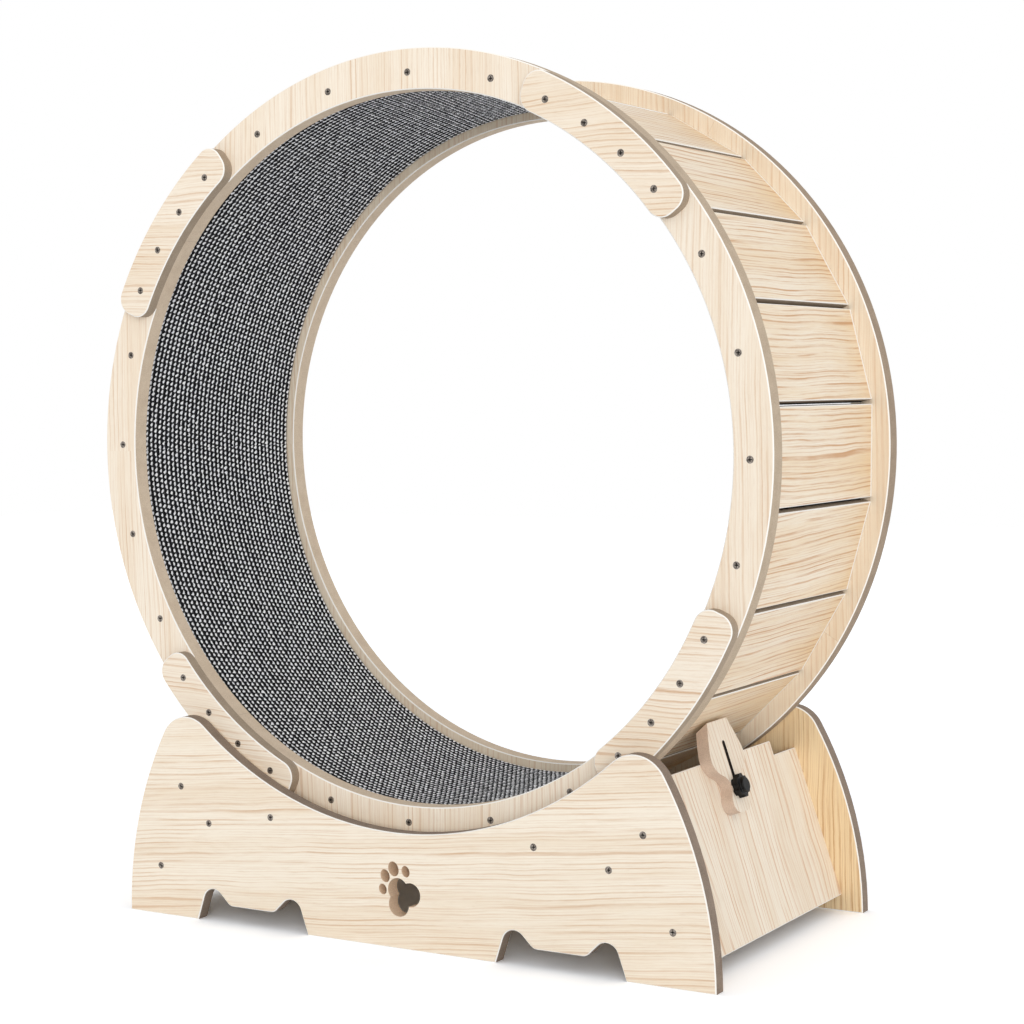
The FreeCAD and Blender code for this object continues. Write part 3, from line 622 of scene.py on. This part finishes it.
def carpetPoints():
    # rows of the pile's surface round the wheel, then the two edges of the flat underside
    across = np.linspace(-halfCarpet, halfCarpet, carpet["ribs"] * carpet["ribSteps"] + 1)
    gap = carpet["seamGap"] / (place["slatInner"] * slatPitch)
    rounds = place["slats"] * carpet["roundSteps"]
    turns = carpet["seamSlat"] + np.linspace(gap, place["slats"] - gap, rounds + 1)
    angle = (place["restTurn"] + turns * slatPitch)[:, None]
    length = (turns * slatPitch * place["slatInner"])[:, None]
    rib = (across + halfCarpet) / (2 * halfCarpet) * carpet["ribs"]
    profile = np.abs(np.sin(np.pi * rib))[None, :] ** carpet["ribPower"]
    shift = np.floor(rib)[None, :] * carpet["loopShift"]
    loops = np.abs(np.sin(np.pi * length / carpet["loop"] + shift))
    loops = 1 - carpet["loopDepth"] + carpet["loopDepth"] * loops
    pile = (carpet["thick"] - carpet["backing"]) * profile * loops
    depth = np.broadcast_to(across[None, :], pile.shape)

    def surface(radius, depth):
        return np.stack([radius * np.cos(angle), depth, radius * np.sin(angle) + place["axis"]], -1)

    top = surface(carpetOuter - carpet["backing"] - pile, depth)
    edges = depth[:, [0, -1]]
    under = surface(np.full(edges.shape, carpetOuter), edges)
    points = np.concatenate([top.reshape(-1, 3), under.reshape(-1, 3)])
    return [tuple(point) for point in points], len(turns), len(across)


def carpetFaces(rows, columns):
    start = rows * columns  # the first point of the underside
    row, column = np.meshgrid(np.arange(rows - 1), np.arange(columns - 1), indexing="ij")
    first = (row * columns + column).ravel()
    row = np.arange(rows - 1)
    low, high = start + 2 * row, start + 2 * row + 1
    left = row * columns
    right = left + columns - 1
    quads = np.concatenate([
        np.stack([first, first + 1, first + columns + 1, first + columns], -1),
        np.stack([low, low + 2, high + 2, high], -1),
        np.stack([low, left, left + columns, low + 2], -1),
        np.stack([high, high + 2, right + columns, right], -1),
    ])
    faces = [tuple(int(i) for i in quad) for quad in quads]
    # the two ends at the seam
    firstEnd = tuple(range(columns)) + (start + 1, start)
    lastRow = start - columns
    lastEnd = start + 2 * rows - 1
    faces.append(tuple(reversed(firstEnd)))
    faces.append(tuple(range(lastRow, start)) + (lastEnd, lastEnd - 1))
    return faces


def makeCarpet():
    points, rows, columns = carpetPoints()
    mesh = bpy.data.meshes.new("carpet_ribs")
    mesh.from_pydata(points, [], carpetFaces(rows, columns))
    mesh.validate()
    for polygon in mesh.polygons:
        polygon.use_smooth = True
    piece = bpy.data.objects.new("carpet_ribs", mesh)
    bpy.context.scene.collection.objects.link(piece)
    return piece


# pale dashes in rows on dark yarn; lengths in metres, shares from 0 up
yarn = {
    "dash": 0.0064,
    "dashShift": 0.37,
    "wobbleGrain": (0.007, 0.009),
    "wobble": 0.7,
    "fleckGrain": (0.0036, 0.0030),
    "stripeShare": 0.9,
    "dashShare": 0.6,
    "fleckShare": 1.8,
    "threshold": 0.46,
    "soft": (-0.03, 0.07),
    "backingEdge": (0.0016, 0.0008),
    "pale": (rgb(255, 255, 255), rgb(236, 237, 242)),
    "dark": (rgb(3, 3, 5), rgb(13, 13, 22)),
    "shade": 240.0,
    "fuzz": 1500.0,
    "relief": 0.0006,
    "rough": 0.95,
    "sheen": {"Sheen Weight": 0.15, "Sheen Roughness": 0.5, "Specular IOR Level": 0.2},
}


def paintCarpet(piece):
    material, position, normal = newMaterial("ribbed_carpet")
    length = wheelTurn(position) * place["slatInner"]
    side = position.part("Y")
    fullTurn = 2 * math.pi

    def patches(grainSize, depth):
        return position.point(length / grainSize[0], side / grainSize[1], depth).noise(1.0, 2.0, 0.6)

    wobble = patches(yarn["wobbleGrain"], 0.0)
    row = (side + halfCarpet) / (2 * halfCarpet / carpet["ribs"]) + (wobble - 0.5) * yarn["wobble"]
    stripe = ((row - 0.5) * fullTurn).math("COSINE")
    beads = length / yarn["dash"] + row * yarn["dashShift"] + row.math("FLOOR") * yarn["dashShift"]
    dash = (beads * fullTurn).math("COSINE")
    fleck = patches(yarn["fleckGrain"], 7.0)
    light = stripe * yarn["stripeShare"] + dash * yarn["dashShare"] + (fleck - 0.5) * yarn["fleckShare"]
    # the underside is dark backing
    deep, shallow = (carpetOuter - edge for edge in yarn["backingEdge"])
    pile = wheelRadius(position).ramp(deep, shallow, 1.0, 0.0)
    light = (light - yarn["threshold"]).ramp(*yarn["soft"]) * pile
    shade = position.noise(yarn["shade"], 1.0, 0.5).ramp(0.3, 0.7)
    colour = light.mixed(shade.mixed(*yarn["dark"]), shade.mixed(*yarn["pale"]))
    relief = light * 0.3 + position.noise(yarn["fuzz"], 2.0, 0.6) * 0.4
    finishMaterial(material, colour, yarn["rough"], relief, yarn["relief"], constants=yarn["sheen"])
    piece.data.materials.append(material)


carpetPiece = makeCarpet()
paintCarpet(carpetPiece)
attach(carpetPiece, "wheel")
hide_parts("carpet_lining")
print("carpet made")


floor = {
    "side": 14.0,
    "tone": 0.93,
    "mottle": 0.01,
    "lift": 1.46,
    "tint": (1.0, 1.025, 1.06),
    "rough": 0.9,
}


def makeFloor():
    half = floor["side"] / 2
    mesh = bpy.data.meshes.new("floor")
    corners = [(-half, -half, 0), (half, -half, 0), (half, half, 0), (-half, half, 0)]
    mesh.from_pydata(corners, [], [(0, 1, 2, 3)])
    piece = bpy.data.objects.new("floor", mesh)
    bpy.context.scene.collection.objects.link(piece)
    material, position, normal = newMaterial("pale_floor")
    seen = position.node("LightPath", output="Is Camera Ray")
    seen = seen.math("MAXIMUM", position.node("LightPath", output="Is Glossy Ray"))
    tone = position.noise(3.0, 2.0, 0.5) * floor["mottle"] + floor["tone"]
    # seen directly, the lit floor is white and its shadow keeps its depth
    level = tone * (seen * (floor["lift"] - 1.0) + 1.0)
    colour = level.point(*(level * share for share in floor["tint"]))
    finishMaterial(material, colour, floor["rough"], constants={"Specular IOR Level": 0.0})
    mesh.materials.append(material)


light = {
    "world": 0.78,
    "fill": 1.15,
    "fillAngle": 34,
    "fillColour": (1.0, 0.99, 0.975),
    "fillFrom": Vector((0.54, -0.82, 0.12)),
}


def makeLight():
    world = bpy.data.worlds.new("studio")
    bpy.context.scene.world = world
    world.use_nodes = True
    background = world.node_tree.nodes["Background"]
    background.inputs["Color"].default_value = (1, 1, 1, 1)
    # seen directly, the surroundings are white
    seen = Value(world.node_tree).node("LightPath", output="Is Camera Ray")
    strength = seen * (1.0 - light["world"]) + light["world"]
    feed(world.node_tree, strength, background.inputs["Strength"])
    lamp = bpy.data.lights.new("fill", "SUN")
    lamp.energy = light["fill"]
    lamp.angle = math.radians(light["fillAngle"])
    lamp.color = light["fillColour"]
    fill = bpy.data.objects.new("fill", lamp)
    fill.rotation_euler = light["fillFrom"].to_track_quat("Z", "Y").to_euler()
    bpy.context.scene.collection.objects.link(fill)


view = {
    "azimuth": 31.423,
    "elevation": 3.164,
    "roll": -0.859,
    "distance": 2.5587,
    "target": Vector((0.0318, 0, 0.4827)),
    "lens": 75.577,
}


def makeCamera():
    azimuth, elevation, roll = (math.radians(view[k]) for k in ("azimuth", "elevation", "roll"))
    back = Vector((
        math.sin(azimuth) * math.cos(elevation),
        -math.cos(azimuth) * math.cos(elevation),
        math.sin(elevation),
    ))
    right = Vector((math.cos(azimuth), math.sin(azimuth), 0))
    up = back.cross(right)
    rolledRight = right * math.cos(roll) + up * math.sin(roll)
    rolledUp = up * math.cos(roll) - right * math.sin(roll)
    lens = bpy.data.cameras.new("camera")
    lens.sensor_width = 36
    lens.lens = view["lens"]
    lens.clip_start = 0.05
    camera = bpy.data.objects.new("camera", lens)
    turn = Matrix((rolledRight, rolledUp, back)).transposed().to_4x4()
    camera.matrix_world = Matrix.Translation(view["target"] + back * view["distance"]) @ turn
    bpy.context.scene.collection.objects.link(camera)
    bpy.context.scene.camera = camera


makeFloor()
makeLight()
makeCamera()
bpy.context.scene.view_settings.view_transform = "Standard"
print("stage made")
